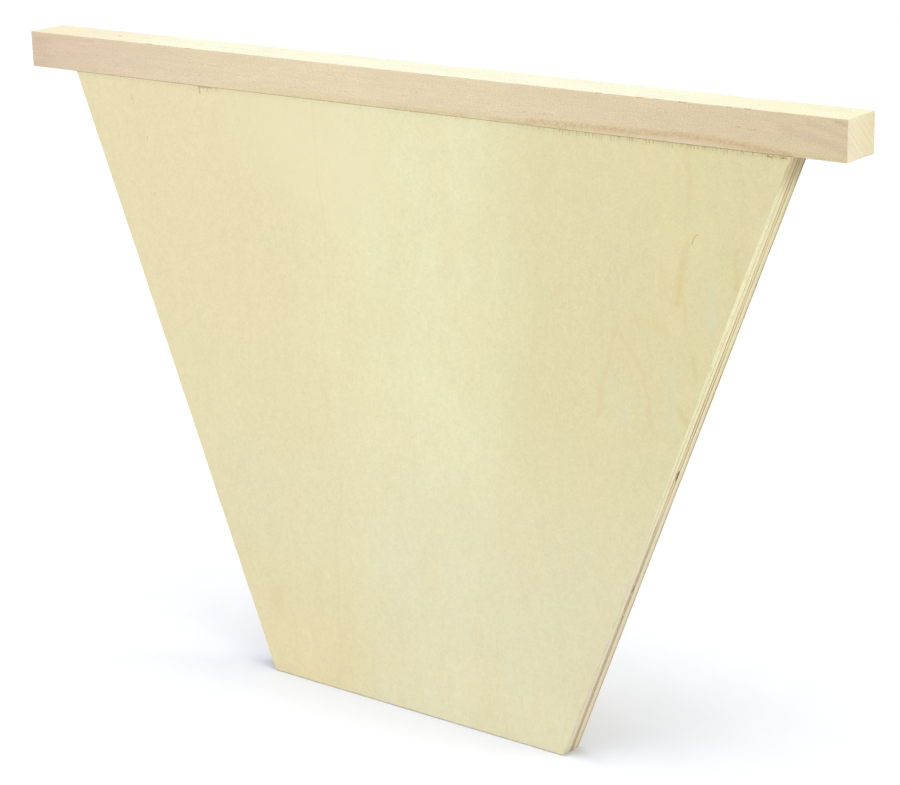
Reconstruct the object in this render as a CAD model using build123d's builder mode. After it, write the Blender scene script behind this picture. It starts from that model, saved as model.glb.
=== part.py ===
"""Follower board for a sloping-sided top bar hive: a trapezoidal plywood board hung from one solid-wood top bar.

X runs along the bar, Y through the thickness (the flush face looks towards -Y) and Z is up.
The origin is under the middle of the bar, on the surface that the board's bottom edge stands on.
"""

import os

from build123d import *
from build123d.topology import SkipClean

os.makedirs("parts", exist_ok=True)

# Top bar
bar_length = 432.0
bar_depth = 21.2
bar_height = 16.7
bar_edge_radius = 0.4

# Board
board_top_width = 381.0
board_bottom_width = 165.5
board_height = 276.5
board_shift = 3.0  # the board sits this far off the bar's middle, towards +X
board_edge_break = 0.3

# Plywood, front to back. Upright and crosswise veneers alternate about the core.
ply_thickness = {
    "front_face_ply": 1.2,
    "front_crossband": 3.6,
    "core_ply": 2.4,
    "back_crossband": 3.6,
    "back_face_ply": 1.2,
}

# Brads: flat wire nails with a T head and a chisel point, driven down through the bar
brad_length = 40.0
brad_wire = 1.2
brad_thickness = 1.0
brad_head_width = 2.0
brad_head_height = 0.6
brad_point_width = 0.3
brad_point_length = 1.8
brad_sink = 0.8  # head below the bar's top
brad_end_margin = 20.5  # in from each top corner of the board
brad_from_front = 9.5  # back from the flush front face

# Worked out from the driving dimensions
front_y = -bar_depth / 2
total_height = board_height + bar_height
brad_top_z = total_height - brad_sink
brad_y = front_y + brad_from_front
brad_reach = board_top_width / 2 - brad_end_margin
brad_places = [board_shift - brad_reach, board_shift + brad_reach]


def board_outline():
    """The board's four corners as (x, z), from the bottom left one round."""
    half_bottom = board_bottom_width / 2
    half_top = board_top_width / 2
    return [
        (board_shift - half_bottom, 0),
        (board_shift + half_bottom, 0),
        (board_shift + half_top, board_height),
        (board_shift - half_top, board_height),
    ]


def brad_outline():
    """One brad's T-shaped side view as (x, z), measured from the middle of its head's top."""
    half_head = brad_head_width / 2
    half_wire = brad_wire / 2
    half_point = brad_point_width / 2
    point_start = brad_point_length - brad_length
    right_side = [
        (half_head, 0),
        (half_head, -brad_head_height / 2),
        (half_wire, -brad_head_height),
        (half_wire, point_start),
        (half_point, -brad_length),
    ]
    left_side = [(-x, z) for x, z in reversed(right_side)]
    return right_side + left_side


with BuildPart() as brads:
    for x in brad_places:
        back_of_wire = Plane((x, brad_y + brad_thickness / 2, brad_top_z), x_dir=(1, 0, 0), z_dir=(0, -1, 0))
        with BuildSketch(back_of_wire):
            with BuildLine():
                Polyline(*brad_outline(), close=True)
            make_face()
        extrude(amount=brad_thickness)

brads.part.label = "brads"
export_step(brads.part, "parts/brads.step")


with BuildPart() as top_bar:
    with BuildSketch(Plane.XY.offset(board_height)):
        Rectangle(bar_length, bar_depth)
    extrude(amount=bar_height)
    fillet(top_bar.edges(), radius=bar_edge_radius)
    # Each head is driven a little under the surface, and leaves its slot open above it.
    with BuildSketch(Plane.XY.offset(total_height)):
        with Locations(*[(x, brad_y) for x in brad_places]):
            Rectangle(brad_head_width, brad_thickness)
    extrude(amount=-brad_sink, mode=Mode.SUBTRACT)
    add(brads.part, mode=Mode.SUBTRACT)
    # The underside is three faces: the two free ends that rest on the hive, and the length over the board.
    # They lie in one plane, and a cut that only touches that plane marks them off.
    with SkipClean():
        with BuildSketch(Plane.XY.offset(board_height)):
            with Locations((board_shift, 0)):
                Rectangle(board_top_width, bar_depth)
        extrude(amount=-board_height, mode=Mode.SUBTRACT)

top_bar.part.label = "top_bar"
export_step(top_bar.part, "parts/top_bar.step")


ply_front_y = front_y
for name, thickness in ply_thickness.items():
    ply_back_y = ply_front_y + thickness
    with BuildPart() as ply:
        with BuildSketch(Plane.XZ.offset(-ply_back_y)):
            with BuildLine():
                Polyline(*board_outline(), close=True)
            make_face()
        extrude(amount=thickness)
        if name == "front_face_ply":
            chamfer(ply.faces().sort_by(Axis.Y)[0].edges(), length=board_edge_break)
        if name == "back_face_ply":
            chamfer(ply.faces().sort_by(Axis.Y)[-1].edges(), length=board_edge_break)
        if ply_front_y < brad_y < ply_back_y:
            add(brads.part, mode=Mode.SUBTRACT)
    ply.part.label = name
    export_step(ply.part, f"parts/{name}.step")
    ply_front_y = ply_back_y
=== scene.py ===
"""The look of the follower board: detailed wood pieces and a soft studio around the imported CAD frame.

Each piece here replaces one CAD node, is made in the CAD frame and rides on the only body, "root".
Shapes are worked out in millimetres and written to the meshes in metres. Materials read places in
metres, but span_mm, stroke, marks and wandering take millimetres.
X runs along the bar, Y through the thickness (the front looks towards -Y) and Z is up.
"""

import functools
import math

import bmesh
import bpy
import numpy as np
from mathutils import Matrix, Vector
from mathutils.geometry import delaunay_2d_cdt


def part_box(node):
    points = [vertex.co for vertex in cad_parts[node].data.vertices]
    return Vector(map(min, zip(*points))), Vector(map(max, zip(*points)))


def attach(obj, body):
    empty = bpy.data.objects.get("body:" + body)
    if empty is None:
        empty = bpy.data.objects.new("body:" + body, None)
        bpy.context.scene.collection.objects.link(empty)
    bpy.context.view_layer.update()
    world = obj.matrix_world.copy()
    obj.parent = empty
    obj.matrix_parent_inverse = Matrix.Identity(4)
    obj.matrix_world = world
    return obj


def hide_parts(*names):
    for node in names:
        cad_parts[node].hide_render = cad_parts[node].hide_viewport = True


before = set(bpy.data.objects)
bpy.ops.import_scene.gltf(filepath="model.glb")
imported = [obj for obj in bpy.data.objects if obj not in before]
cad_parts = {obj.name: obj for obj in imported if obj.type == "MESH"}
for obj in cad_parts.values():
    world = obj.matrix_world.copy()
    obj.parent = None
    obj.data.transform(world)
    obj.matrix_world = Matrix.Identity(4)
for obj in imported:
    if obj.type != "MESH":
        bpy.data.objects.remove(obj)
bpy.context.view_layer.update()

MM = 0.001
TINY = 0.01  # places closer than this in millimetres count as the same


# -------- sizes from the frame


def box_mm(node):
    """A CAD node's lowest and highest corners in millimetres."""
    low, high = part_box(node)
    return np.array(low) / MM, np.array(high) / MM


def board_corners():
    """The board's corners (x, z) in millimetres: bottom left, bottom right, top right, top left."""
    co = np.array([v.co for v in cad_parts["core_ply"].data.vertices]) / MM
    low, high = co[:, 2].min(), co[:, 2].max()
    nearby = 0.1
    bottom = co[co[:, 2] < low + nearby, 0]
    top = co[co[:, 2] > high - nearby, 0]
    return np.array([(bottom.min(), low), (bottom.max(), low), (top.max(), high), (top.min(), high)])


def y_range(node):
    """A CAD node's front and back in millimetres."""
    low, high = box_mm(node)
    return low[1], high[1]


bar_low, bar_high = box_mm("top_bar")
brads_low, brads_high = box_mm("brads")
front_y = bar_low[1]
corners = board_corners()
board_top = corners[2, 1]
side_runs = [corners[(i + 1) % 4] - corners[i] for i in range(4)]
side_inwards = [np.array([-d[1], d[0]]) / np.linalg.norm(d) for d in side_runs]


# -------- smooth random fields


class Field:
    """Smooth seeded noise from -1 to 1, sampled at any numpy coordinates."""

    SIZE = 32

    def __init__(self, seed):
        self.table = np.random.default_rng(seed).uniform(-1, 1, (self.SIZE,) * 3)

    def __call__(self, x, y=0.0, z=0.0):
        x, y, z = np.broadcast_arrays(*[np.asarray(v, float) for v in (x, y, z)])
        total = np.zeros(x.shape)
        base = [np.floor(v).astype(int) for v in (x, y, z)]
        part = [v - b for v, b in zip((x, y, z), base)]
        part = [p * p * (3 - 2 * p) for p in part]
        for corner in range(8):
            weight = np.ones(x.shape)
            index = []
            for axis in range(3):
                step = corner >> axis & 1
                weight = weight * (part[axis] if step else 1 - part[axis])
                index.append((base[axis] + step) % self.SIZE)
            total += weight * self.table[tuple(index)]
        return total


# -------- solids


def fill_cap(loop, inner):
    """Triangles of a flat region: its outline loop and the loose points inside it, both (u, v)."""
    count = len(loop)
    points = [Vector(p) for p in np.vstack([loop, inner])] if len(inner) else [Vector(p) for p in loop]
    edges = [(i, (i + 1) % count) for i in range(count)]
    verts, _, faces, origins, _, _ = delaunay_2d_cdt(points, edges, [], 1, 1e-6)
    assert len(verts) == len(points), "a cap's points fell together"
    source = [o[0] for o in origins]
    return [[source[i] for i in f] for f in faces]


def solid(name, rings, caps, piece_materials, sharp_degrees, rim_material=0, places=((0, 0, 0),)):
    """A closed mesh of equal rings joined side by side, with a filled cap on the first and last ring.

    Each cap is (axes, inner points as (x, y, z), material number): axes are the two it is flat in.
    places are the offsets of the equal bodies the piece is made of.
    """
    rings = [np.asarray(r, float) for r in rings]
    count = len(rings[0])
    points = list(rings)
    faces, materials = [], []
    for k in range(len(rings) - 1):
        a, b = k * count, (k + 1) * count
        for i in range(count):
            j = (i + 1) % count
            faces.append((a + i, a + j, b + j, b + i))
            materials.append(rim_material)
    start = len(rings) * count
    for ring_number, (axes, inner, material) in zip((0, len(rings) - 1), caps):
        inner = np.asarray(inner, float).reshape(-1, 3)
        ring_start = ring_number * count
        for f in fill_cap(rings[ring_number][:, axes], inner[:, axes]):
            faces.append(tuple(ring_start + i if i < count else start + i - count for i in f))
            materials.append(material)
        points.append(inner)
        start += len(inner)
    points = np.vstack(points)
    bodies = [points + np.array(p) for p in places]
    all_faces = [tuple(i + n * len(points) for i in f) for n in range(len(places)) for f in faces]
    mesh = bpy.data.meshes.new(name)
    mesh.from_pydata((np.vstack(bodies) * MM).tolist(), [], all_faces)
    for m in piece_materials:
        mesh.materials.append(m)
    mesh.polygons.foreach_set("material_index", materials * len(places))
    face_out(mesh)
    mesh.shade_smooth()
    mesh.set_sharp_from_angle(angle=math.radians(sharp_degrees))
    piece = bpy.data.objects.new(name, mesh)
    bpy.context.scene.collection.objects.link(piece)
    return piece


def face_out(mesh):
    """Turns every face outwards and checks that the mesh is closed."""
    bm = bmesh.new()
    bm.from_mesh(mesh)
    assert all(len(e.link_faces) == 2 for e in bm.edges), f"{mesh.name} isn't closed"
    bmesh.ops.recalc_face_normals(bm, faces=bm.faces)
    bm.to_mesh(mesh)
    bm.free()


def settle(piece, node):
    """Makes a piece stand for a CAD node, on the only body."""
    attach(piece, "root")
    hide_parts(node)


def bump(away):
    """1 at 0, falling smoothly to 0 at 1 and beyond on both sides."""
    away = np.clip(np.abs(away), 0, 1)
    return (1 - away * away) ** 2


# -------- material graphs


def srgb(red, green, blue):
    """A display colour from 0 to 255 as a linear colour with alpha."""
    def linear(c):
        c /= 255
        return c / 12.92 if c <= 0.04045 else ((c + 0.055) / 1.055) ** 2.4

    return (linear(red), linear(green), linear(blue), 1.0)


# How many times its own colour a surface shows on each side of the object under the studio's lights, in
# red, green and blue, and the linear light that its sheen adds.
FRONT_LIGHT = (1.272, 1.271, 1.264)
ARRIS_LIGHT = (1.17, 1.16, 1.108)
SIDE_LIGHT = (1.35, 1.332, 1.227)
END_LIGHT = (1.38, 1.362, 1.257)
TOP_LIGHT = (1.66, 1.65, 1.594)
SHEEN = 0.016


def seen(red, green, blue, light=FRONT_LIGHT):
    """The wood colour that shows as this display colour under the studio's light on that side."""
    return tuple((c - SHEEN) / share for c, share in zip(srgb(red, green, blue), light)) + (1.0,)


class Graph:
    """One Principled material, with short calls for the nodes that feed it."""

    def __init__(self, name):
        self.material = bpy.data.materials.new(name)
        self.material.use_nodes = True
        self.tree = self.material.node_tree
        self.shader = self.tree.nodes["Principled BSDF"]
        self.place = self.node("ShaderNodeTexCoord").outputs["Object"]
        split = self.node("ShaderNodeSeparateXYZ", {0: self.place})
        self.x, self.y, self.z = split.outputs

    def node(self, kind, inputs=None, **settings):
        """A new node, with its inputs given by name or number and its settings by name."""
        made = self.tree.nodes.new(kind)
        for key, value in settings.items():
            setattr(made, key, value)
        for key, value in (inputs or {}).items():
            self.put(made.inputs[key], value)
        return made

    def put(self, socket, value):
        """Feeds an input from another node's output, or sets it to a constant."""
        if isinstance(value, bpy.types.NodeSocket):
            self.tree.links.new(value, socket)
        else:
            socket.default_value = value

    def math(self, operation, *values):
        return self.node("ShaderNodeMath", dict(enumerate(values)), operation=operation).outputs[0]

    def add(self, *values):
        return functools.reduce(lambda total, value: self.math("ADD", total, value), values)

    def mul(self, *values):
        return functools.reduce(lambda product, value: self.math("MULTIPLY", product, value), values)

    def vector(self, operation, *values, output=0):
        node = self.node("ShaderNodeVectorMath", dict(enumerate(values)), operation=operation)
        return node.outputs[output]

    def scale(self, vector, factor):
        return self.node("ShaderNodeVectorMath", {0: vector, "Scale": factor}, operation="SCALE").outputs[0]

    def join(self, x, y, z):
        return self.node("ShaderNodeCombineXYZ", {0: x, 1: y, 2: z}).outputs[0]

    def stretched(self, x, y, z, where=None):
        """The place, with each axis multiplied by its own factor."""
        return self.vector("MULTIPLY", where or self.place, (x, y, z))

    def noise(self, where, scale, detail=2.0, roughness=0.5):
        """Noise about 0.5, with features about 1/scale metres across."""
        inputs = {"Vector": where, "Scale": scale, "Detail": detail, "Roughness": roughness}
        return self.node("ShaderNodeTexNoise", inputs).outputs["Fac"]

    def wandering(self, scale, reach, where=None):
        """The place, moved about by up to roughly reach millimetres, so that drawn lines waver."""
        where = where or self.place
        node = self.node("ShaderNodeTexNoise", {"Vector": where, "Scale": scale, "Detail": 2.0})
        offset = self.vector("SUBTRACT", node.outputs["Color"], (0.5, 0.5, 0.5))
        return self.vector("ADD", where, self.scale(offset, 4 * reach * MM))

    def span(self, value, low, high, to_low=0.0, to_high=1.0, smooth=True):
        """value from low..high to to_low..to_high, held at both ends."""
        inputs = {"Value": value, "From Min": low, "From Max": high, "To Min": to_low, "To Max": to_high}
        kind = "SMOOTHSTEP" if smooth else "LINEAR"
        return self.node("ShaderNodeMapRange", inputs, interpolation_type=kind).outputs[0]

    def span_mm(self, value, low, high, to_low=0.0, to_high=1.0):
        """As span, for a place along an axis between two places in millimetres."""
        return self.span(value, low * MM, high * MM, to_low, to_high)

    def mix(self, amount, a, b):
        """Colour a where amount is 0, and b where it is 1."""
        factor, first, second, result = 0, 6, 7, 2
        node = self.node("ShaderNodeMix", data_type="RGBA")
        for number, value in ((factor, amount), (first, a), (second, b)):
            self.put(node.inputs[number], value)
        return node.outputs[result]

    def swing(self, noise, strength):
        """A noise about 0.5 as one about 0, times a strength."""
        return self.mul(self.math("SUBTRACT", noise, 0.5), strength)

    def shade(self, colour, *parts):
        """The colour made lighter and darker by noises about 0.5, each given as (noise, strength)."""
        return self.scale(colour, self.add(1.0, *[self.swing(*part) for part in parts]))

    def near(self, value, centre, reach):
        """1 where value is centre, falling to 0 at reach each side."""
        away = self.math("ABSOLUTE", self.math("SUBTRACT", value, centre))
        return self.span(away, 0.0, reach, 1.0, 0.0)

    def stroke(self, where, start, end, width):
        """1 on the line between two points (x, y, z) in millimetres, falling to 0 at width each side."""
        start, end = Vector(start) * MM, Vector(end) * MM
        along = end - start
        offset = self.vector("SUBTRACT", where, start)
        share = self.vector("DOT_PRODUCT", offset, along / along.length_squared, output=1)
        share = self.span(share, 0.0, 1.0, smooth=False)
        away = self.vector("DISTANCE", offset, self.scale(tuple(along), share), output=1)
        return self.span(away, 0.0, width * MM, 1.0, 0.0)

    def marks(self, where, lines):
        """The strongest of several drawn lines, each (points (x, z) in millimetres, width, strength)."""
        total = 0.0
        for points, width, strength in lines:
            for (x0, z0), (x1, z1) in zip(points, points[1:]):
                drawn = self.mul(self.stroke(where, (x0, 0, z0), (x1, 0, z1), width), strength)
                total = self.math("MAXIMUM", total, drawn)
        return total

    def finish(self, colour, roughness, height, relief_mm, specular=0.35):
        """Feeds the shader. height runs about 0 to 1 and stands for relief_mm of real relief."""
        relief = {"Strength": 1.0, "Distance": relief_mm * MM, "Height": height}
        normal = self.node("ShaderNodeBump", relief).outputs[0]
        names = ("Base Color", "Roughness", "Specular IOR Level", "Normal")
        for name, value in zip(names, (colour, roughness, specular, normal)):
            self.put(self.shader.inputs[name], value)
        return self.material


# -------- the camera


# The camera's place in millimetres, its turn to the left, slope down and roll in degrees, and its lens.
CAMERA_PLACE = (643.83, -815.50, 467.10)
CAMERA_TURN = 37.4226
CAMERA_SLOPE = 17.0714
CAMERA_ROLL = -1.2469
CAMERA_LENS = 98.55
SENSOR_WIDTH = 36


def place_camera():
    """The photograph's viewpoint: high and from the right, a little rolled, with a long lens."""
    data = bpy.data.cameras.new("camera")
    data.sensor_width = SENSOR_WIDTH
    data.lens = CAMERA_LENS
    data.clip_start = 0.05
    data.clip_end = 50
    camera = bpy.data.objects.new("camera", data)
    turn = Matrix.Rotation(math.radians(CAMERA_TURN), 4, "Z")
    tilt = Matrix.Rotation(math.radians(90 - CAMERA_SLOPE), 4, "X")
    roll = Matrix.Rotation(math.radians(CAMERA_ROLL), 4, "Z")
    position = Matrix.Translation(Vector(CAMERA_PLACE) * MM)
    camera.matrix_world = position @ turn @ tilt @ roll
    bpy.context.scene.collection.objects.link(camera)
    bpy.context.scene.camera = camera


# -------- the studio


WHITE = (1, 1, 1)
FILL_STRENGTH = 0.495

# The distant soft lights: name, azimuth (0 is the front, 90 the right), elevation and width in degrees,
# strength and colour.
SOFTBOXES = [
    ("front_key", -10, 83, 39, 1.95, WHITE),
    ("overhead", 120, 82.5, 106, 1.04, WHITE),
    ("right_side", 96, 28, 60, 1.83, (1.0, 0.965, 0.76)),
]

# The near light: its width and height, its place and the place it looks at, in metres, and its power.
CARD_SIZE = (0.5, 0.35)
CARD_PLACE = (-0.09, -0.50, 0.33)
CARD_AIM = (0, 0, 0.15)
CARD_POWER = 0.9

# The floor reaches this many metres each way from the middle.
FLOOR_REACH = 4.0
FLOOR_CELLS = 8
FLOOR_DARKER = (0.604, 0.619, 0.672, 1)
FLOOR_LIGHTER = (0.614, 0.629, 0.682, 1)


def make_world():
    """An even white fill, and a brighter white that only the camera sees behind the object."""
    world = bpy.data.worlds.new("studio")
    world.use_nodes = True
    tree = world.node_tree
    fill = tree.nodes["Background"]
    fill.inputs["Color"].default_value = (*WHITE, 1)
    fill.inputs["Strength"].default_value = FILL_STRENGTH
    backdrop = tree.nodes.new("ShaderNodeBackground")
    backdrop.inputs["Color"].default_value = (*WHITE, 1)
    rays = tree.nodes.new("ShaderNodeLightPath")
    choose = tree.nodes.new("ShaderNodeMixShader")
    tree.links.new(rays.outputs["Is Camera Ray"], choose.inputs[0])
    tree.links.new(fill.outputs[0], choose.inputs[1])
    tree.links.new(backdrop.outputs[0], choose.inputs[2])
    tree.links.new(choose.outputs[0], tree.nodes["World Output"].inputs["Surface"])
    bpy.context.scene.world = world


def aim(lamp, direction):
    """Turns a lamp to shine in this direction and puts it in the scene."""
    lamp.rotation_euler = direction.to_track_quat("-Z", "Y").to_euler()
    bpy.context.scene.collection.objects.link(lamp)


def softbox(name, azimuth, elevation, width, strength, colour):
    """A distant soft light, as SOFTBOXES lists them."""
    light = bpy.data.lights.new(name, "SUN")
    light.angle = math.radians(width)
    light.energy = strength
    light.color = colour
    a, e = math.radians(azimuth), math.radians(elevation)
    source = Vector((math.sin(a) * math.cos(e), -math.cos(a) * math.cos(e), math.sin(e)))
    aim(bpy.data.objects.new(name, light), -source)


def near_card():
    """A small bright card in front of the board, a little to the left and above it."""
    light = bpy.data.lights.new("near_card", "AREA")
    light.shape = "RECTANGLE"
    light.size, light.size_y = CARD_SIZE
    light.energy = CARD_POWER
    lamp = bpy.data.objects.new("near_card", light)
    lamp.location = CARD_PLACE
    lamp.visible_camera = False
    aim(lamp, Vector(CARD_AIM) - lamp.location)


def make_floor():
    """A wide sheet of pale paper that the object stands on."""
    mesh = bpy.data.meshes.new("floor")
    row = FLOOR_CELLS + 1
    step = 2 * FLOOR_REACH / FLOOR_CELLS
    places = [-FLOOR_REACH + i * step for i in range(row)]
    firsts = [j * row + i for j in range(FLOOR_CELLS) for i in range(FLOOR_CELLS)]
    quads = [(n, n + 1, n + row + 1, n + row) for n in firsts]
    mesh.from_pydata([(x, y, 0) for y in places for x in places], [], quads)
    floor = bpy.data.objects.new("floor", mesh)
    bpy.context.scene.collection.objects.link(floor)
    g = Graph("floor_paper")
    speck = g.noise(g.place, 60.0, 3.0)
    colour = g.mix(g.span(speck, 0.3, 0.7), FLOOR_DARKER, FLOOR_LIGHTER)
    mesh.materials.append(g.finish(colour, g.span(speck, 0.2, 0.8, 0.85, 0.95), speck, 0.02, 0.1))


def make_studio():
    """A white room: soft light strongest from above, a warmer one from the right, and a pale floor."""
    bpy.context.scene.view_settings.view_transform = "Standard"
    make_world()
    for row in SOFTBOXES:
        softbox(*row)
    near_card()
    make_floor()


# -------- wood materials


# How steeply the bar's growth layers fall towards the back.
RING_TILT = math.radians(42)

# Small bruises along the bar's top front arris: x, half length and depth in millimetres.
ARRIS_CHIPS = [
    (-140.0, 2.2, 0.3), (-115.5, 1.6, 0.25), (105.0, 1.5, 0.3), (124.8, 2.4, 0.55),
    (131.9, 1.4, 0.35), (144.0, 2.0, 0.35), (165.0, 1.3, 0.25), (173.1, 1.6, 0.3),
]

# The bar's markings: lines drawn along points (x, z) in millimetres, each with a width and a strength.
BROWN_BAND = [
    ([(2, 277.4), (40, 277.6)], 1.2, 0.25),
    ([(52, 277.6), (90, 277.4)], 1.4, 0.35),
    ([(70, 278.4), (120, 279.3), (145, 280), (164, 279.3), (182, 277.9), (192, 277)], 2.2, 0.7),
]
PINK_PATCH = [([(124, 277.5), (153, 277.6)], 0.9, 0.6)]
PURPLE_BANDS = [
    ([(188, 287.3), (200, 285), (216, 281)], 2.8, 0.2),
    ([(199, 290.4), (216, 286.2)], 2.1, 0.18),
    ([(211, 291.8), (216, 291)], 1.5, 0.3),
    ([(-207, 281.7), (-203, 281.3)], 3.2, 0.12),
    ([(-213, 290), (-205, 290.2)], 2.4, 0.15),
    ([(-196, 290.9), (-175, 291.2)], 0.9, 0.15),
]
FLECKS = [
    ([(-57, 281), (-47, 281.1)], 0.5, 0.5),
    ([(-30, 281.6), (-22, 281.5)], 0.45, 0.5),
    ([(6.7, 283), (8.3, 283)], 0.5, 0.6),
    ([(13.4, 284.6), (14.6, 284.6)], 0.5, 0.6),
    ([(65, 282), (84, 281.9)], 0.5, 0.45),
    ([(166, 285.6), (177.5, 285.4)], 0.45, 0.55),
    ([(177.5, 285.4), (195, 285)], 0.4, 0.3),
    ([(-192, 284.6), (-188, 284.6)], 0.9, 0.25),
    ([(-116, 286.6), (-91, 286.4)], 0.8, 0.2),
]


def growth_layer(g):
    """How high a place's growth layer meets the bar's front."""
    depth = g.math("SUBTRACT", g.y, front_y * MM)
    return g.add(g.z, g.mul(depth, math.tan(RING_TILT)))


def bar_zones(g, layer, top):
    """The bar's broad colours along its length, a yellower skirt low on the right, a cream top, and painted
    light along the lower front arris.
    """
    base = g.mix(g.span_mm(g.x, -210, -60, 1.0, 0.0), seen(232, 216, 181), seen(224, 202, 174))
    base = g.mix(g.span_mm(g.x, -10, 210), base, seen(227, 208, 171))
    base = g.mix(g.span_mm(g.x, -216, -196, 0.35, 0.0), base, seen(208, 184, 156))
    skirt = g.mul(g.span_mm(layer, 277.2, 280.5, 0.75, 0.0), g.span_mm(g.x, -110, -60))
    base = g.mix(skirt, base, seen(222, 207, 160))
    # Painted light: the colour is lifted along the bar's lower arris, where the groove at the joint lies in
    # shade.
    base = g.scale(base, g.span_mm(g.z, board_top, board_top + 0.45, 1.14, 1.0))
    tan_left = g.span_mm(g.x, -190, -120, 1.0, 0.0)
    cream = g.mix(g.span_mm(g.x, 120, 200), seen(252, 250, 222, TOP_LIGHT), seen(252, 247, 212, TOP_LIGHT))
    return g.mix(top, base, g.mix(tan_left, cream, seen(250, 239, 206, TOP_LIGHT)))


def bar_markings(g, base, rings_place):
    """The bar's bands and flecks, and darker colour in the bruises along its top front arris."""
    wavering = g.wandering(180.0, 0.35, rings_place)
    strands = g.span(g.noise(g.stretched(0.5, 1, 1), 1250.0, 3.0, 0.75), 0.36, 0.64, 0.25, 1.0)
    base = g.mix(g.mul(g.marks(wavering, BROWN_BAND), strands), base, seen(202, 165, 118))
    base = g.mix(g.marks(wavering, PINK_PATCH), base, seen(232, 212, 190))
    base = g.mix(g.marks(wavering, PURPLE_BANDS), base, seen(190, 158, 138))
    broken = g.span(g.noise(g.stretched(0.6, 1, 1), 1500.0, 1.0), 0.45, 0.6, 0.0, 0.9)
    base = g.mix(g.mul(g.marks(wavering, FLECKS), broken), base, seen(176, 140, 108))
    for x, half_length, depth in ARRIS_CHIPS:
        left, right = [(x + s * half_length * 0.6, front_y + 0.1, bar_high[2] - 0.1) for s in (-1, 1)]
        bruise = g.mul(g.stroke(g.wandering(300.0, 0.2), left, right, 0.7), 0.35 + depth)
        base = g.mix(bruise, base, seen(150, 118, 84))
    return base


def bar_wood():
    """Planed hardwood with its grain along X: pinkish tan, with faint sloping bands and fine specks."""
    g = Graph("bar_wood")
    layer = growth_layer(g)
    rings_place = g.join(g.x, 0.0, layer)
    top = g.span_mm(g.z, bar_high[2] - 0.25, bar_high[2] - 0.1)
    base = bar_zones(g, layer, top)
    drift = g.noise(g.stretched(0.2, 0, 1, rings_place), 160.0, 3.0, 0.55)
    bands = g.noise(g.stretched(0.035, 0, 1, g.wandering(25.0, 0.5, rings_place)), 520.0)
    fibre = g.noise(g.stretched(0.06, 1, 1), 1900.0, 3.0, 0.65)
    speck = g.noise(g.stretched(0.7, 1, 1), 1900.0, 2.0, 0.7)
    base = g.shade(base, (drift, 0.12), (bands, 0.12), (fibre, 0.3), (speck, 0.85))
    blush = g.noise(g.stretched(0.15, 1, 1), 420.0, 3.0, 0.6)
    blush = g.mul(g.span(blush, 0.42, 0.62, 0.0, 0.4), g.math("SUBTRACT", 1.0, top))
    base = g.mix(blush, base, seen(231, 209, 177))
    pores = g.noise(g.stretched(0.22, 1, 1), 1700.0, 1.0)
    base = g.mix(g.span(pores, 0.68, 0.82, 0.0, 0.4), base, seen(196, 172, 142))
    base = bar_markings(g, base, rings_place)
    height = g.add(g.mul(fibre, 0.5), g.mul(bands, 0.2), g.mul(speck, 0.3))
    return g.finish(base, g.span(fibre, 0.2, 0.8, 0.58, 0.74), height, 0.03)


def bar_end_wood():
    """The bar's sawn ends: faint growth rings across, and pores as fine dots."""
    g = Graph("bar_end_grain")
    wobble = g.noise(g.place, 90.0)
    layer = g.add(growth_layer(g), g.mul(wobble, 0.003))
    rings = g.noise(g.join(0.0, 0.0, layer), 620.0, 1.0)
    dots = g.noise(g.place, 1000.0, 2.0, 0.7)
    saw = g.noise(g.stretched(1, 1, 0.12), 700.0)
    base = g.mix(g.span_mm(g.y, -8, 10), seen(241, 229, 194, END_LIGHT), seen(236, 221, 180, END_LIGHT))
    base = g.shade(base, (rings, 0.28), (saw, 0.1), (dots, 0.45))
    base = g.mix(g.span(dots, 0.56, 0.72, 0.0, 0.4), base, seen(204, 180, 134, END_LIGHT))
    height = g.add(g.mul(dots, 0.6), g.mul(saw, 0.4))
    return g.finish(base, g.span(dots, 0.3, 0.7, 0.7, 0.85), height, 0.06)


# The front veneer's markings, as the bar's: streaks in the wood, and painted shade in the gaps among the torn
# fibres.
MINERAL_STREAKS = [
    ([(146.4, 277), (147.4, 256), (146.5, 236), (143.5, 220), (147, 201), (151.5, 182)], 2.8, 0.5),
    ([(143.5, 222), (142.5, 212)], 4.0, 0.8),
    ([(138, 176), (140, 170), (147, 163)], 3.2, 0.8),
    ([(169.3, 238), (169, 222)], 2.2, 0.6),
    ([(124, 203), (134, 202)], 5.0, 0.35),
    ([(134, 223), (136, 216)], 5.0, 0.3),
    ([(67, 235), (67, 233)], 2.0, 0.6),
    ([(83.6, 210), (83.6, 208)], 2.0, 0.6),
    ([(123, 228), (123, 226)], 2.0, 0.5),
    ([(-75, 42), (-76, 30)], 5.0, 0.35),
]
PALE_STREAKS = [
    ([(113, 197), (108, 178), (104, 159)], 2.0, 0.5),
    ([(116, 195), (127, 180), (131, 158)], 2.0, 0.45),
]
TORN_GAP_SHADE = [
    ([(182, 276), (183.8, 275.4)], 0.6, 0.6),
    ([(184.8, 276), (185.6, 275.7)], 0.5, 0.45),
    ([(188, 275.8), (190.6, 275.5)], 0.6, 0.55),
    ([(-110.5, 276.2), (-103, 276.2)], 0.6, 0.5),
    ([(-109.8, 276), (-109.8, 273.4)], 0.6, 0.5),
]
CLEAR_STREAKS = [
    ([(158, 220), (158, 205)], 5.0, 0.5),
    ([(139, 182), (141, 160)], 4.0, 0.5),
    ([(111, 172), (117, 160)], 6.0, 0.4),
]
LIGHT_CLOUD = [([(-66, 262), (-30, 248)], 42.0, 0.6)]

# How far away from the front's grain the back's is taken, in metres.
BACK_GRAIN = (0.371, 0.113, 0.253)


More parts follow.
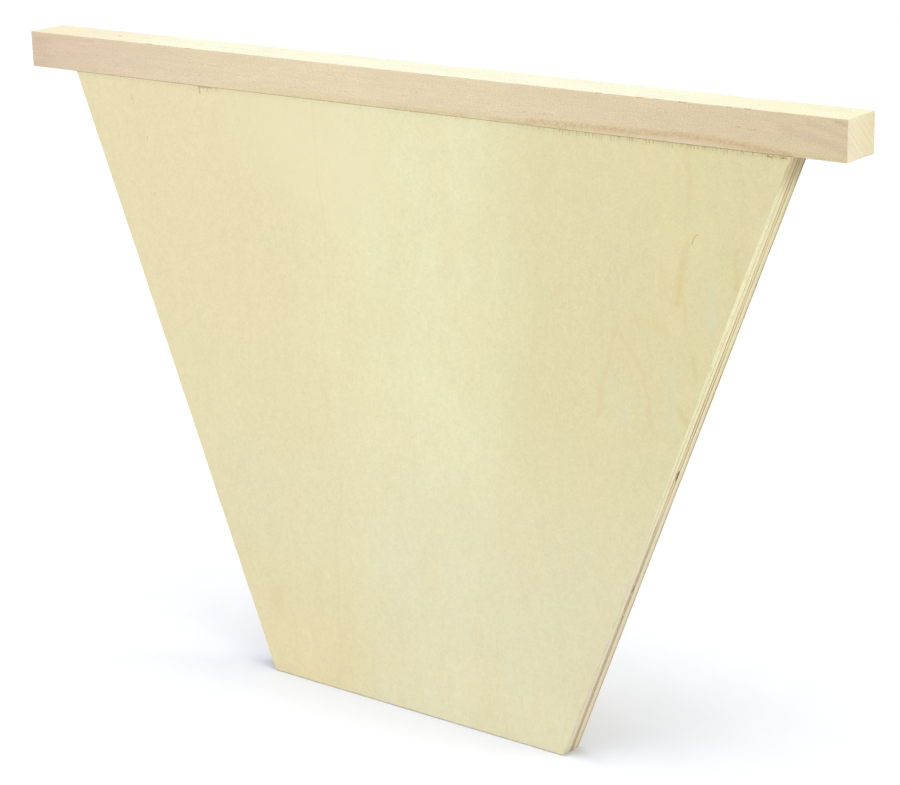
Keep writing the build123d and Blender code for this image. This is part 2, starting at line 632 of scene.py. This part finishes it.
def veneer_zones(g, across):
    """The face's broad colours: warm to olive from left to right, paler towards its foot, and painted light
    that lifts the colour low down.
    """
    warm, middle, olive = seen(235, 223, 180), seen(238, 233, 190), seen(230, 222, 175)
    base = g.mix(g.span_mm(across, -80, 5), warm, middle)
    base = g.mix(g.span_mm(across, 30, 82), base, olive)
    low_down = g.mul(g.span_mm(g.z, 60, 165, 0.7, 0.0), g.span_mm(across, -45, -5))
    base = g.mix(low_down, base, seen(232, 227, 193))
    lower_left = g.mul(g.span_mm(g.z, 70, 190, 0.8, 0.0), g.span_mm(across, -50, -10, 1.0, 0.0))
    foot = g.mix(g.span_mm(g.z, 20, 80, 1.0, 0.0), seen(231, 225, 184), seen(235, 222, 177))
    base = g.mix(lower_left, base, foot)
    upper_right = g.mul(g.span_mm(g.z, 140, 200), g.span_mm(across, 90, 135))
    base = g.mix(upper_right, base, seen(231, 221, 172))
    # Painted light: the colour is lifted towards the foot, making up for the shade that falls low on the
    # board.
    return g.scale(base, g.add(g.span_mm(g.z, 0, 190, 1.04, 1.0), g.span_mm(g.z, 0, 45, 0.06, 0.0)))


def front_streaks(g, base, across):
    """The front veneer's streaks and cloud, painted shade under the bar, and a faint upright line."""
    wavering = g.stretched(1, 0, 1, g.wandering(90.0, 1.3, g.wandering(400.0, 0.35)))
    patchy = g.span(g.noise(g.stretched(1, 1, 0.3), 110.0, 3.0, 0.6), 0.36, 0.62, 0.1, 0.58)
    base = g.mix(g.mul(g.marks(wavering, MINERAL_STREAKS), patchy), base, seen(224, 194, 132))
    base = g.mix(g.marks(wavering, PALE_STREAKS), base, seen(230, 208, 160))
    base = g.mix(g.marks(wavering, CLEAR_STREAKS), base, seen(226, 224, 186))
    base = g.mix(g.marks(wavering, LIGHT_CLOUD), base, seen(240, 231, 189))
    # Painted shade on the face just under the bar, stronger towards the right.
    painted_shade_under_bar = g.mul(g.span_mm(g.z, board_top - 3.2, board_top), g.span_mm(g.x, 40, 180, 0.045, 0.1))
    base = g.scale(base, g.math("SUBTRACT", 1.0, painted_shade_under_bar))
    line = g.mul(g.near(across, -0.040, 1.6 * MM), 0.15)
    return g.mix(line, base, seen(228, 212, 166))


def front_tears(g, base):
    """Loose hairs along the front veneer's top edge, painted shade in the gaps among them, and painted shade
    inside its tears and nicks.
    """
    hairs = g.noise(g.stretched(1, 0, 0.16), 1500.0, 1.0)
    often = g.add(g.span_mm(g.x, 60, 100), g.near(g.x, -0.103, 0.012), 0.25)
    ragged = g.noise(g.stretched(1, 0, 0), 500.0)
    reach = g.span_mm(g.add(g.z, g.mul(ragged, 4.6 * MM)), board_top - 0.3, board_top + 1.5)
    hair = g.mul(g.span(hairs, 0.52, 0.66), reach, g.span(often, 0.0, 1.0, 0.0, 0.65))
    base = g.mix(hair, base, seen(182, 150, 94))
    ragged_place = g.stretched(1, 0, 1, g.wandering(500.0, 0.3))
    # Painted shade in the gaps where the torn fibres meet the bar.
    base = g.mix(g.marks(ragged_place, TORN_GAP_SHADE), base, seen(140, 110, 62))
    # Painted shade: the face darkens where it lies sunk behind its front, inside the tears and nicks.
    torn = g.span_mm(g.y, front_y + 0.05, front_y + 0.3, 0.0, 0.72)
    return g.mix(torn, base, seen(154, 124, 76))


def veneer_face(name, is_front):
    """A sanded rotary-cut poplar face ply: soft upright clouds, fine specks, and broad zones of colour."""
    g = Graph(name)
    where = g.place if is_front else g.vector("ADD", g.place, BACK_GRAIN)
    wander = g.noise(g.stretched(0.3, 1, 1, where), 14.0)
    across = g.add(g.x, g.swing(wander, 0.03))
    base = veneer_zones(g, across)
    clouds = g.noise(g.stretched(1, 1, 0.33, where), 42.0, 3.0, 0.6)
    hue = g.noise(g.stretched(1, 1, 0.4, g.vector("ADD", where, (0.5, 0, 0.2))), 60.0, 3.0, 0.65)
    fibre = g.noise(g.stretched(1, 1, 0.05, where), 1500.0, 2.0, 0.6)
    speck = g.noise(where, 1100.0, 2.0, 0.6)
    mottle = g.noise(where, 330.0, 2.0, 0.6)
    base = g.mix(g.span(hue, 0.35, 0.65, 0.0, 0.3), base, seen(236, 221, 176))
    base = g.shade(base, (clouds, 0.07), (fibre, 0.06), (speck, 0.2), (mottle, 0.1))
    if is_front:
        base = front_streaks(g, base, across)
        base = front_tears(g, base)
    height = g.add(g.mul(fibre, 0.35), g.mul(speck, 0.35), g.mul(mottle, 0.3))
    return g.finish(base, g.span(fibre, 0.2, 0.8, 0.55, 0.7), height, 0.02)


def ply_edge(name, y_low, y_high, upper, lower, glue, lines=(), spots=()):
    """A ply's sawn edge between y_low and y_high in millimetres, from upper to lower colour, with painted
    shade of the bar's overhang near its top.

    glue is the strength of the dark joint at each side. lines are (y, width, strength above, strength
    below) along the edge. spots are (share down the right edge, y, half length, width, strength, how far
    in from the edge).
    """
    g = Graph(name)
    saw = g.noise(g.stretched(1.0, 0.4, 1.0), 1300.0, 3.0, 0.65)
    patch = g.noise(g.stretched(1, 3, 1), 70.0, 3.0)
    strands = g.noise(g.stretched(0.12, 1, 0.12), 1600.0, 2.0, 0.6)
    base = g.mix(g.span_mm(g.z, 60, 200, 1.0, 0.0), upper, lower)
    # Painted shade: the edge darkens towards its top, where the bar overhangs it.
    base = g.mix(g.span_mm(g.z, 257, 273), base, g.vector("MULTIPLY", base, (0.74, 0.67, 0.585)))
    base = g.shade(base, (patch, 0.22), (strands, 0.3), (saw, 0.3))
    dark = seen(146, 116, 74, SIDE_LIGHT)
    base = g.mix(g.span(strands, 0.55, 0.72, 0.0, 0.35), base, seen(188, 164, 120, SIDE_LIGHT))
    wavy = g.add(g.y, g.swing(g.noise(g.place, 140.0, 3.0), 0.5 * MM))
    for y, width, above, below in lines:
        line = g.mul(g.near(wavy, y * MM, width * MM), g.span_mm(g.z, 95, 125, below, above))
        base = g.mix(g.mul(line, g.span(saw, 0.3, 0.6, 0.5, 1.0)), base, dark)
    uneven = g.mul(g.noise(g.place, 700.0), 0.2 * MM)
    open_joint = g.add(g.span(patch, 0.35, 0.65, 0.55, 1.15), g.mul(g.near(g.z, 170 * MM, 38 * MM), 0.85))
    for boundary, strength, way in ((y_low, glue[0], 1), (y_high, glue[1], -1)):
        inside_by = g.mul(g.math("SUBTRACT", g.y, boundary * MM), way)
        joint = g.span(g.math("SUBTRACT", inside_by, uneven), -0.05 * MM, 0.34 * MM, strength, 0.0)
        base = g.mix(g.math("MINIMUM", g.mul(joint, open_joint), 1.0), base, dark)
    down_edge = -side_runs[1] / np.linalg.norm(side_runs[1])
    for share, y, half_length, width, strength, sunk in spots:
        middle = corners[2] - side_runs[1] * share + side_inwards[1] * sunk
        a, b = middle - down_edge * half_length, middle + down_edge * half_length
        spot = g.stroke(g.wandering(400.0, 0.2), (a[0], y, a[1]), (b[0], y, b[1]), width)
        base = g.mix(g.mul(spot, strength), base, seen(84, 60, 36, SIDE_LIGHT))
    height = g.add(g.mul(saw, 0.6), g.mul(strands, 0.4))
    return g.finish(base, g.span(saw, 0.3, 0.7, 0.7, 0.85), height, 0.07)


def brad_steel():
    """Dull drawn wire."""
    g = Graph("brad_steel")
    drawn = g.noise(g.stretched(1, 1, 0.05), 4000.0)
    dull = g.noise(g.place, 900.0)
    colour = g.mix(g.span(dull, 0.35, 0.65), srgb(128, 120, 110), srgb(92, 82, 72))
    g.shader.inputs["Metallic"].default_value = 1.0
    return g.finish(colour, g.span(drawn, 0.3, 0.7, 0.35, 0.55), drawn, 0.01, 0.5)


# -------- the bar


# A brad's head (X, Y, Z) and wire (X, Y), and its slot's sloping walls and depths in the bar's top.
BRAD_HEAD = (2.0, 1.0, 0.6)
BRAD_WIRE = (1.2, 1.0)
SLOT_WALL = 0.12
OPEN_SLOT_BELOW_HEAD = 0.2
CLOSED_SLOT_DEPTH = 0.5

brad_y = (brads_low[1] + brads_high[1]) / 2
brad_places = [brads_low[0] + BRAD_HEAD[0] / 2, brads_high[0] - BRAD_HEAD[0] / 2]

# The bar's rounding along its arrises and at its ends, and the spacing of its mesh.
BAR_RADIUS = 0.26
BAR_END_EASE = 0.1
STEP_AROUND_BAR = 1.4
STEP_ALONG_BAR = 1.5
STEP_ON_BAR_END = 0.8

# The bar's wear, roughness, slow waves and saw marks, each half of the deepest, and the bruises' reach.
BAR_WEAR = 0.035
BAR_ROUGHNESS = 0.012
BAR_WAVES = 0.03
BAR_SAW_MARKS = 0.05
BRUISE_REACH = 1.6


def stations(low, high, step, extra, clearance):
    """Even places between low and high with the extra ones put in, less those too near to an extra one."""
    count = max(2, int(round((high - low) / step)))
    even = low + (high - low) * np.arange(1, count) / count
    even = [s for s in even if all(abs(s - e) > clearance for e in extra)]
    return np.array(sorted(even + [e for e in extra if low < e < high]))


def bar_section(radius):
    """The bar's cross-section as points (y, z) with inward normals, with rounded corners."""
    half = (bar_high - bar_low)[1:] / 2
    centre = (bar_low + bar_high)[1:] / 2
    points, normals = [], []
    arrises = [((1, 1), 0), ((-1, 1), 90), ((-1, -1), 180), ((1, -1), 270)]
    half_slot = BRAD_HEAD[1] / 2
    rows = (half_slot + SLOT_WALL, half_slot, 0, -half_slot, -half_slot - SLOT_WALL)
    slot_rows = [brad_y + s for s in rows]

    def outwards(degrees):
        return np.array([math.cos(math.radians(degrees)), math.sin(math.radians(degrees))])

    for number, (signs, start) in enumerate(arrises):
        for degrees in np.linspace(start, start + 90, 5):
            out = outwards(degrees)
            points.append(centre + np.array(signs) * (half - radius) + out * radius)
            normals.append(-out)
        next_signs, next_start = arrises[(number + 1) % 4]
        out = outwards(next_start)
        first, last = points[-1], centre + np.array(next_signs) * (half - radius) + out * radius
        length = np.linalg.norm(last - first)
        # The first stretch is the bar's top, which has the slots.
        extra = [first[0] - y for y in slot_rows] if number == 0 else []
        for s in stations(0, length, STEP_AROUND_BAR, extra, clearance=0.35):
            points.append(first + (last - first) * (s / length))
            normals.append(-out)
    return np.array(points), np.array(normals)


def bar_end_points(x, seed):
    """Points inside an end face, sunk by its saw marks."""
    saw = Field(seed)
    low_margin, high_margin = 1.3, 1.0
    ys = np.arange(bar_low[1] + low_margin, bar_high[1] - high_margin, STEP_ON_BAR_END)
    zs = np.arange(bar_low[2] + low_margin, bar_high[2] - high_margin, STEP_ON_BAR_END)
    yy, zz = [a.ravel() for a in np.meshgrid(ys, zs)]
    depth = BAR_SAW_MARKS * (1 + saw(yy / 1.1, zz / 6))
    return np.c_[x + (depth if x < 0 else -depth), yy, zz]


def make_bar():
    """The bar, with eased and bruised arrises, sawn ends and its two brad slots."""
    section, inward = bar_section(BAR_RADIUS)
    waves, rough, worn = Field(11), Field(12), Field(13)
    x_low, x_high = bar_low[0], bar_high[0]
    half_head = BRAD_HEAD[0] / 2
    # Each slot's x, half width and depth. The left one is open past the top of its brad's head, and the wood
    # has closed over the right one, but for a thin groove.
    open_depth = bar_high[2] - brads_high[2] + OPEN_SLOT_BELOW_HEAD
    brad_slots = [
        (brad_places[0], BRAD_HEAD[1] / 2 + TINY, open_depth),
        (brad_places[1], TINY, CLOSED_SLOT_DEPTH),
    ]

    def ring(x, shrink):
        """The section at x, drawn in by shrink, wear and relief, and cut by the slots."""
        y, z = section[:, 0], section[:, 1]
        at_corner = np.abs(inward).max(axis=1) < 0.95
        wear = np.where(at_corner, BAR_WEAR * (1 + worn(x / 9, y / 8, z / 8)), 0.0)
        relief = BAR_ROUGHNESS * (1 + rough(x / 2.5, y / 1.7, z / 1.7))
        relief = relief + BAR_WAVES * (1 + waves(x / 45, y / 12, z / 12))
        from_arris = np.hypot(y - bar_low[1], z - bar_high[2])
        for chip_x, half_length, chip_depth in ARRIS_CHIPS:
            bruise = chip_depth * bump((x - chip_x) / half_length) * bump(from_arris / BRUISE_REACH)
            relief = relief + bruise * (1 + 0.4 * rough(x / 0.6, y, z))
        moved = section + inward * (shrink + wear + relief)[:, None]
        for slot_x, half_width, slot_depth in brad_slots:
            in_slot = (z > bar_high[2] - TINY) & (np.abs(y - brad_y) < half_width)
            if abs(x - slot_x) < half_head + TINY:
                moved[in_slot, 1] = bar_high[2] - slot_depth
        return np.c_[np.full(len(moved), x), moved]

    slot_ends = (-half_head - SLOT_WALL, -half_head, 0.0, half_head, half_head + SLOT_WALL)
    extra = [slot_x + s for slot_x in brad_places for s in slot_ends]
    extra += [chip_x + half * s for chip_x, half, _ in ARRIS_CHIPS for s in (-1, -0.5, 0, 0.5, 1)]
    turns = [
        (BAR_END_EASE * (1 - math.sin(a)), BAR_END_EASE * (1 - math.cos(a)))
        for a in np.radians([90, 60, 30, 0])
    ]
    middle = stations(x_low + BAR_END_EASE, x_high - BAR_END_EASE, STEP_ALONG_BAR, extra, clearance=0.4)
    rings = [ring(x_low + back, shrink) for back, shrink in turns]
    rings += [ring(x, 0.0) for x in middle]
    rings += [ring(x_high - back, shrink) for back, shrink in turns[::-1]]
    end_axes = (1, 2)
    caps = [(end_axes, bar_end_points(x_low, 21), 1), (end_axes, bar_end_points(x_high, 22), 1)]
    piece = solid("bar", rings, caps, [bar_wood(), bar_end_wood()], sharp_degrees=25)
    settle(piece, "top_bar")


# -------- the plies


# How far the inner plies stand back, the groove along each glue joint, the roughness of the edges of inner
# plies (the deepest) and face plies (half of it), and the spacing of the outline's points.
INNER_SET_BACK = 0.06
JOINT_GROOVE = 0.08
SAWN_ROUGHNESS = 0.07
FACE_EDGE_ROUGHNESS = 0.03
EDGE_STEP = 0.6


def outline(bottom_step, top_step, extra_top=()):
    """The board's outline, anticlockwise from the front: points (x, z), inward normals and side names."""
    steps = {"bottom": bottom_step, "right": EDGE_STEP, "top": top_step, "left": EDGE_STEP}
    points, normals, names = [], [], []
    for i, (name, step) in enumerate(steps.items()):
        run, inward = side_runs[i], side_inwards[i]
        length = np.linalg.norm(run)
        extra = [corners[2, 0] - x for x in extra_top] if name == "top" else []
        bisector = side_inwards[i - 1] + inward
        points.append(corners[i])
        normals.append(bisector / (bisector @ inward))
        names.append(name)
        for s in stations(0, length, step, extra, clearance=0.15):
            points.append(corners[i] + run * (s / length))
            normals.append(inward)
            names.append(name)
    return np.array(points), np.array(normals), np.array(names)


def at_depth(points, y):
    """Points (x, z) as points (x, y, z)."""
    return np.c_[points[:, 0], np.broadcast_to(y, len(points)), points[:, 1]]


def honeycomb(pitch, margin):
    """Points (x, z) in staggered rows over the board, at least margin inside its outline."""
    left, right = corners[:, 0].min(), corners[:, 0].max()
    rows = enumerate(np.arange(pitch / 2, board_top, pitch * 0.866))
    found = [(x, z) for n, z in rows for x in np.arange(left + (n % 2) * pitch / 2, right, pitch)]
    found = np.array(found)
    inside = [(found - c) @ inward > margin for c, inward in zip(corners, side_inwards)]
    return found[np.all(inside, axis=0)]


def hidden_points(y):
    """The loose points of a ply's glued side."""
    return at_depth(honeycomb(pitch=22.0, margin=6.0), y)


class Torn:
    """Fibres torn from the front under the bar, each as its x, half width, length, depth and lean.

    RUNS are close ones (first x, last x, spacing), and STRAYS single ones (first x, last x, count).
    """

    RUNS = [(86, 190, 2.9), (-111, -95, 2.4)]
    STRAYS = [(-180, -118, 6), (-90, 80, 13)]
    JITTER = 0.8
    LEAST_SPACING = 1.6

    def __init__(self, seed):
        draw = np.random.default_rng(seed)
        places = [x for run in self.RUNS for x in np.arange(*run)]
        places += [x for stray in self.STRAYS for x in draw.uniform(*stray)]
        places = sorted(x + draw.uniform(-self.JITTER, self.JITTER) for x in places)
        self.chips = []
        for x in places:
            width, length = draw.uniform(0.35, 0.8), draw.uniform(0.6, 1.9)
            if not self.chips or x - self.chips[-1][0] > self.LEAST_SPACING:
                self.chips.append((x, width / 2, length, draw.uniform(0.16, 0.28), draw.uniform(-0.5, 0.5)))

    def stations(self):
        """Where the top edge needs points: each chip's middle and both its sides."""
        return [x + s * half for x, half, _, _, _ in self.chips for s in (-1, 0, 1)]

    def depth_at_top(self, x):
        depth = np.zeros(len(x))
        for place, _, _, deep, _ in self.chips:
            depth[np.abs(x - place) < TINY] = deep
        return depth

    def points(self):
        """Points (x, depth, z) that shape the fibres' hollows below the top edge."""
        found = []
        for x, half, length, deep, lean in self.chips:
            for share, width in ((0.3, 0.8), (0.65, 0.45)):
                middle, z = x + lean * share, board_top - length * share
                found += [(middle + s * half * width, 0.0, z) for s in (-1, 1)]
            found += [(x + lean * s, deep * (1 - s), board_top - length * s) for s in (0.3, 0.65, 1.0)]
        return np.array(found)


# Short nicks in the front, dark with painted shade: points (x, z) along each.
NICKS = [
    [(-152.9, 269.2), (-152.4, 265.9)],
    [(-143.9, 250.4), (-143.9, 248.8)],
    [(-141.1, 224.3), (-141.0, 222.9)],
    [(148.9, 236.6), (149.3, 238.6), (150.3, 240.3), (151.9, 241.5)],
]


def nick_points():
    """Points (x, depth, z) of the nicks: a hollow line with a level point each side and at both tips."""
    half_width, depth = 0.2, 0.22
    found = []
    for line in NICKS:
        line = np.array(line, float)
        for a, b in zip(line, line[1:]):
            along = (b - a) / np.linalg.norm(b - a)
            side = np.array([-along[1], along[0]]) * half_width
            for share in np.linspace(0.1, 0.9, 5):
                p = a + (b - a) * share
                found.append((p[0], depth, p[1]))
                found += [(q[0], 0.0, q[1]) for q in (p + side, p - side)]
        for tip in (line[0], line[-1]):
            found.append((tip[0], 0.0, tip[1]))
    return np.array(found)


# Gaps in the core and chips in the back ply, down the right edge: ply, share of the way down, y, half
# length, half height and depth.
EDGE_PITS = [
    ("core_ply", 0.505, -4.2, 2.6, 0.7, 1.6),
    ("core_ply", 0.700, -4.7, 1.6, 0.6, 1.3),
    ("core_ply", 0.752, -4.4, 0.9, 0.45, 0.8),
    ("back_face_ply", 0.016, 1.05, 2.4, 0.9, 0.3),
    ("back_face_ply", 0.150, 1.05, 3.0, 0.85, 0.25),
    ("back_face_ply", 0.195, 1.05, 3.2, 0.95, 0.25),
]


def pit_depth(name, points, sides, y):
    """How far the right edge is hollowed at each outline point, at this y."""
    down = (board_top - points[:, 1]) / (board_top - corners[1, 1])
    length = np.linalg.norm(side_runs[1])
    fall = 0.8
    depth = np.zeros(len(points))
    for ply, share, pit_y, half_length, half_height, deep in EDGE_PITS:
        if ply == name:
            along = bump((down - share) * length / half_length * fall)
            across = bump((y - pit_y) / half_height * fall)
            depth = np.maximum(depth, deep * np.minimum(1, 2 * (along * across)))
    return np.where(sides == "right", depth, 0.0)


def spots_for(name):
    """The dark spots in a ply's pits, as ply_edge takes them."""
    pits = [pit[1:] for pit in EDGE_PITS if pit[0] == name]
    strength = 0.85
    return [(share, y, half * 0.8, high * 1.2, strength, deep * 0.7) for share, y, half, high, deep in pits]


def make_inner_ply(name, seed, edge, rows):
    """A ply between the faces, with a rough sawn edge of so many rows, grooved at its glue joints."""
    y_low, y_high = y_range(name)
    points, normals, sides = outline(bottom_step=EDGE_STEP, top_step=4.0)
    x, z = points.T
    fine, wave = Field(seed), Field(seed + 50)
    is_sawn = np.where(sides == "top", 0.0, 1.0)
    rings = []
    for share in np.linspace(0, 1, rows):
        y = y_low + (y_high - y_low) * share
        groove = JOINT_GROOVE if share in (0.0, 1.0) else 0.0
        rough = SAWN_ROUGHNESS * (1 + fine(x / 0.9, y / 0.7, z / 0.9)) / 2
        rough = rough + 0.05 * (1 + wave(x / 7, y / 3, z / 7))
        inset = (INNER_SET_BACK + groove + rough) * is_sawn + pit_depth(name, points, sides, y)
        rings.append(at_depth(points + normals * inset[:, None], y))
    caps = [((0, 2), hidden_points(y), 0) for y in (y_low, y_high)]
    piece = solid(name + "_detail", rings, caps, [edge], sharp_degrees=35)
    settle(piece, name)


def face_ease(points, sides, field, is_front):
    """How far in a face ply's outer arris is sanded off, at each outline point."""
    x, z = points.T
    least = 0.32
    eased = least + 0.12 * field(x / 8, 0, z / 8)
    if is_front:
        up = z / board_top
        sanded = 0.35 + 0.85 * np.clip((up - 0.45) / 0.3, 0, 1) + 0.1 * field(x / 12, 7, z / 12)
        sanded = least + (sanded - least) * np.clip((board_top - z) / 4, 0, 1)
        eased = np.where(sides == "right", sanded, eased)
        ragged = 0.3 * np.clip(field(x / 1.3, 3, 0) + 0.6 * field(x / 0.5, 9, 0), 0, 1)
        eased = np.where(sides == "bottom", eased + ragged, eased)
    return np.where(sides == "top", 0.02, eased)


def outer_points(field, torn):
    """Points (x, depth, z) inside a face ply's outer side, with the tears and nicks where it is torn."""
    level = honeycomb(pitch=7.0, margin=3.0)
    swell = 0.02 * (1 + field(level[:, 0] / 30, 5.0, level[:, 1] / 60))
    outer = at_depth(level, swell)
    if not torn:
        return outer
    carved = np.vstack([torn.points(), nick_points()])
    away = outer[:, None] - carved[None]
    gap = np.hypot(away[..., 0], away[..., 2]).min(axis=1)
    return np.vstack([outer[gap > 0.8], carved])


# A face ply's rings, outermost first: share of the thickness, and share of the sanding.
FACE_RINGS = [(0, 1), (0.02, 0.94), (0.34, 0.06), (0.4, 0), (0.65, 0), (0.9, 0), (1, 0)]


def make_face_ply(name, is_front, seed, face, edge):
    """The front or back veneer, with sanded arrises and blunt bottom corners. Only the front is torn."""
    y_out, y_in = y_range(name) if is_front else y_range(name)[::-1]
    inward_y = 1.0 if is_front else -1.0
    thickness = abs(y_in - y_out)
    torn = Torn(seed) if is_front else None
    points, normals, sides = outline(bottom_step=0.5, top_step=2.0, extra_top=torn.stations() if torn else ())
    field = Field(seed)
    eased = face_ease(points, sides, field, is_front)
    at_top = sides == "top"
    to_corner = np.minimum(*[np.linalg.norm(points - corner, axis=1) for corner in corners[:2]])
    blunt = 0.15 * bump(to_corner / 1.6)
    push = torn.depth_at_top(points[:, 0]) * at_top if torn else np.zeros(len(points))
    rings = []
    for share, eased_share in FACE_RINGS:
        y = push + (thickness - push) * share
        rough = FACE_EDGE_ROUGHNESS * (1 + field(points[:, 0] / 0.9, share * 3, points[:, 1] / 0.9))
        groove = JOINT_GROOVE if share == 1 else 0.0
        pits = pit_depth(name, points, sides, y_out + inward_y * thickness * share)
        inset = eased * eased_share + np.where(at_top, 0.0, rough + groove + blunt) + pits * min(1, share * 6)
        rings.append(at_depth(points + normals * inset[:, None], y_out + inward_y * y))
    outer = outer_points(field, torn)
    outer[:, 1] = y_out + inward_y * outer[:, 1]
    caps = [((0, 2), outer, 0), ((0, 2), hidden_points(y_in), 1)]
    piece = solid(name + "_detail", rings, caps, [face, edge], sharp_degrees=20, rim_material=1)
    settle(piece, name)


# The inner plies: slot, rows of points, the edge's upper and lower display colours, its glue and its lines.
INNER_PLIES = {
    "front_crossband": (
        "crossband_veneer", 11, ((248, 237, 189), (235, 224, 192)), (0.3, 0.6),
        [(-8.9, 0.5, 0.35, 0.2), (-6.7, 0.4, 0.1, 0.4)],
    ),
    "core_ply": (
        "core_veneer", 13, ((244, 230, 181), (226, 213, 174)), (0.7, 0.7),
        [(-4.6, 0.75, 0.25, 1.0), (-3.9, 0.35, 0.45, 0.45), (-5.7, 0.35, 0.5, 0.0)],
    ),
    "back_crossband": (
        "crossband_veneer", 11, ((243, 231, 184), (235, 221, 187)), (0.65, 0.45),
        [(-1.1, 0.4, 0.4, 0.25)],
    ),
}


def make_board():
    """The five plies, from the inner ones to the two faces."""
    for seed, (name, (slot, rows, colours, glue, lines)) in enumerate(INNER_PLIES.items(), 31):
        upper, lower = [seen(*colour, SIDE_LIGHT) for colour in colours]
        edge = ply_edge(name + "_edge", *y_range(name), upper, lower, glue, lines, spots_for(name))
        make_inner_ply(name, seed, edge, rows)
    outside = 1.0  # a glue joint drawn this far outside the board can't be seen
    front, back = y_range("front_face_ply")
    upper, lower = seen(239, 232, 188, ARRIS_LIGHT), seen(233, 226, 188, SIDE_LIGHT)
    edge = ply_edge("front_face_edge", front - outside, back, upper, lower, (0, 0.65))
    make_face_ply("front_face_ply", True, 41, veneer_face("front_face_veneer", True), edge)
    front, back = y_range("back_face_ply")
    upper, lower = seen(234, 221, 175, SIDE_LIGHT), seen(222, 209, 174, SIDE_LIGHT)
    spots = spots_for("back_face_ply") + [(0.27, 1.2, 1.0, 0.6, 0.4, 0.1)]
    edge = ply_edge("back_face_edge", front, back + outside, upper, lower, (0.35, 0), spots=spots)
    make_face_ply("back_face_ply", False, 42, veneer_face("back_face_veneer", False), edge)


# -------- the brads


def make_brads():
    """Two flat wire brads with T heads and chisel points, as one piece of two bodies."""
    top, bottom = brads_high[2], brads_low[2]
    first_x = brad_places[0]
    rounding = 0.12

    def ring(z, width, depth):
        """A rectangle of wire with rounded corners."""
        points = []
        for sx, sy, turn in ((1, 1, 0), (-1, 1, 90), (-1, -1, 180), (1, -1, 270)):
            for a in np.radians([turn, turn + 45, turn + 90]):
                x = sx * (width / 2 - rounding) + rounding * math.cos(a)
                y = sy * (depth / 2 - rounding) + rounding * math.sin(a)
                points.append((first_x + x, brad_y + y, z))
        return points

    head_x, head_y, head_z = BRAD_HEAD
    wire_x, wire_y = BRAD_WIRE
    levels = [
        (top, head_x - 0.25, head_y - 0.25),
        (top - 0.04, head_x - 0.08, head_y - 0.08),
        (top - 0.12, head_x, head_y),
        (top - head_z / 2, head_x, head_y),
        (top - head_z, wire_x, wire_y),
    ]
    # Fine gripping ridges under the head, then the plain shank and the chisel point.
    ridges = np.arange(top - head_z - 0.7, top - 6, -0.5)
    levels += [(z, wire_x - 0.06 * (n % 2), wire_y - 0.04 * (n % 2)) for n, z in enumerate(ridges)]
    levels += [(z, wire_x, wire_y) for z in np.linspace(top - 7, bottom + 1.8, 12)]
    levels += [(bottom + 0.05, 0.34, wire_y - 0.1), (bottom, 0.3, wire_y - 0.2)]
    rings = [ring(*level) for level in levels]
    caps = [((0, 1), [(first_x, brad_y, z)], 0) for z in (top, bottom)]
    places = [(x - first_x, 0, 0) for x in brad_places]
    piece = solid("brads_detail", rings, caps, [brad_steel()], sharp_degrees=30, places=places)
    settle(piece, "brads")


place_camera()
make_studio()
make_bar()
make_board()
make_brads()
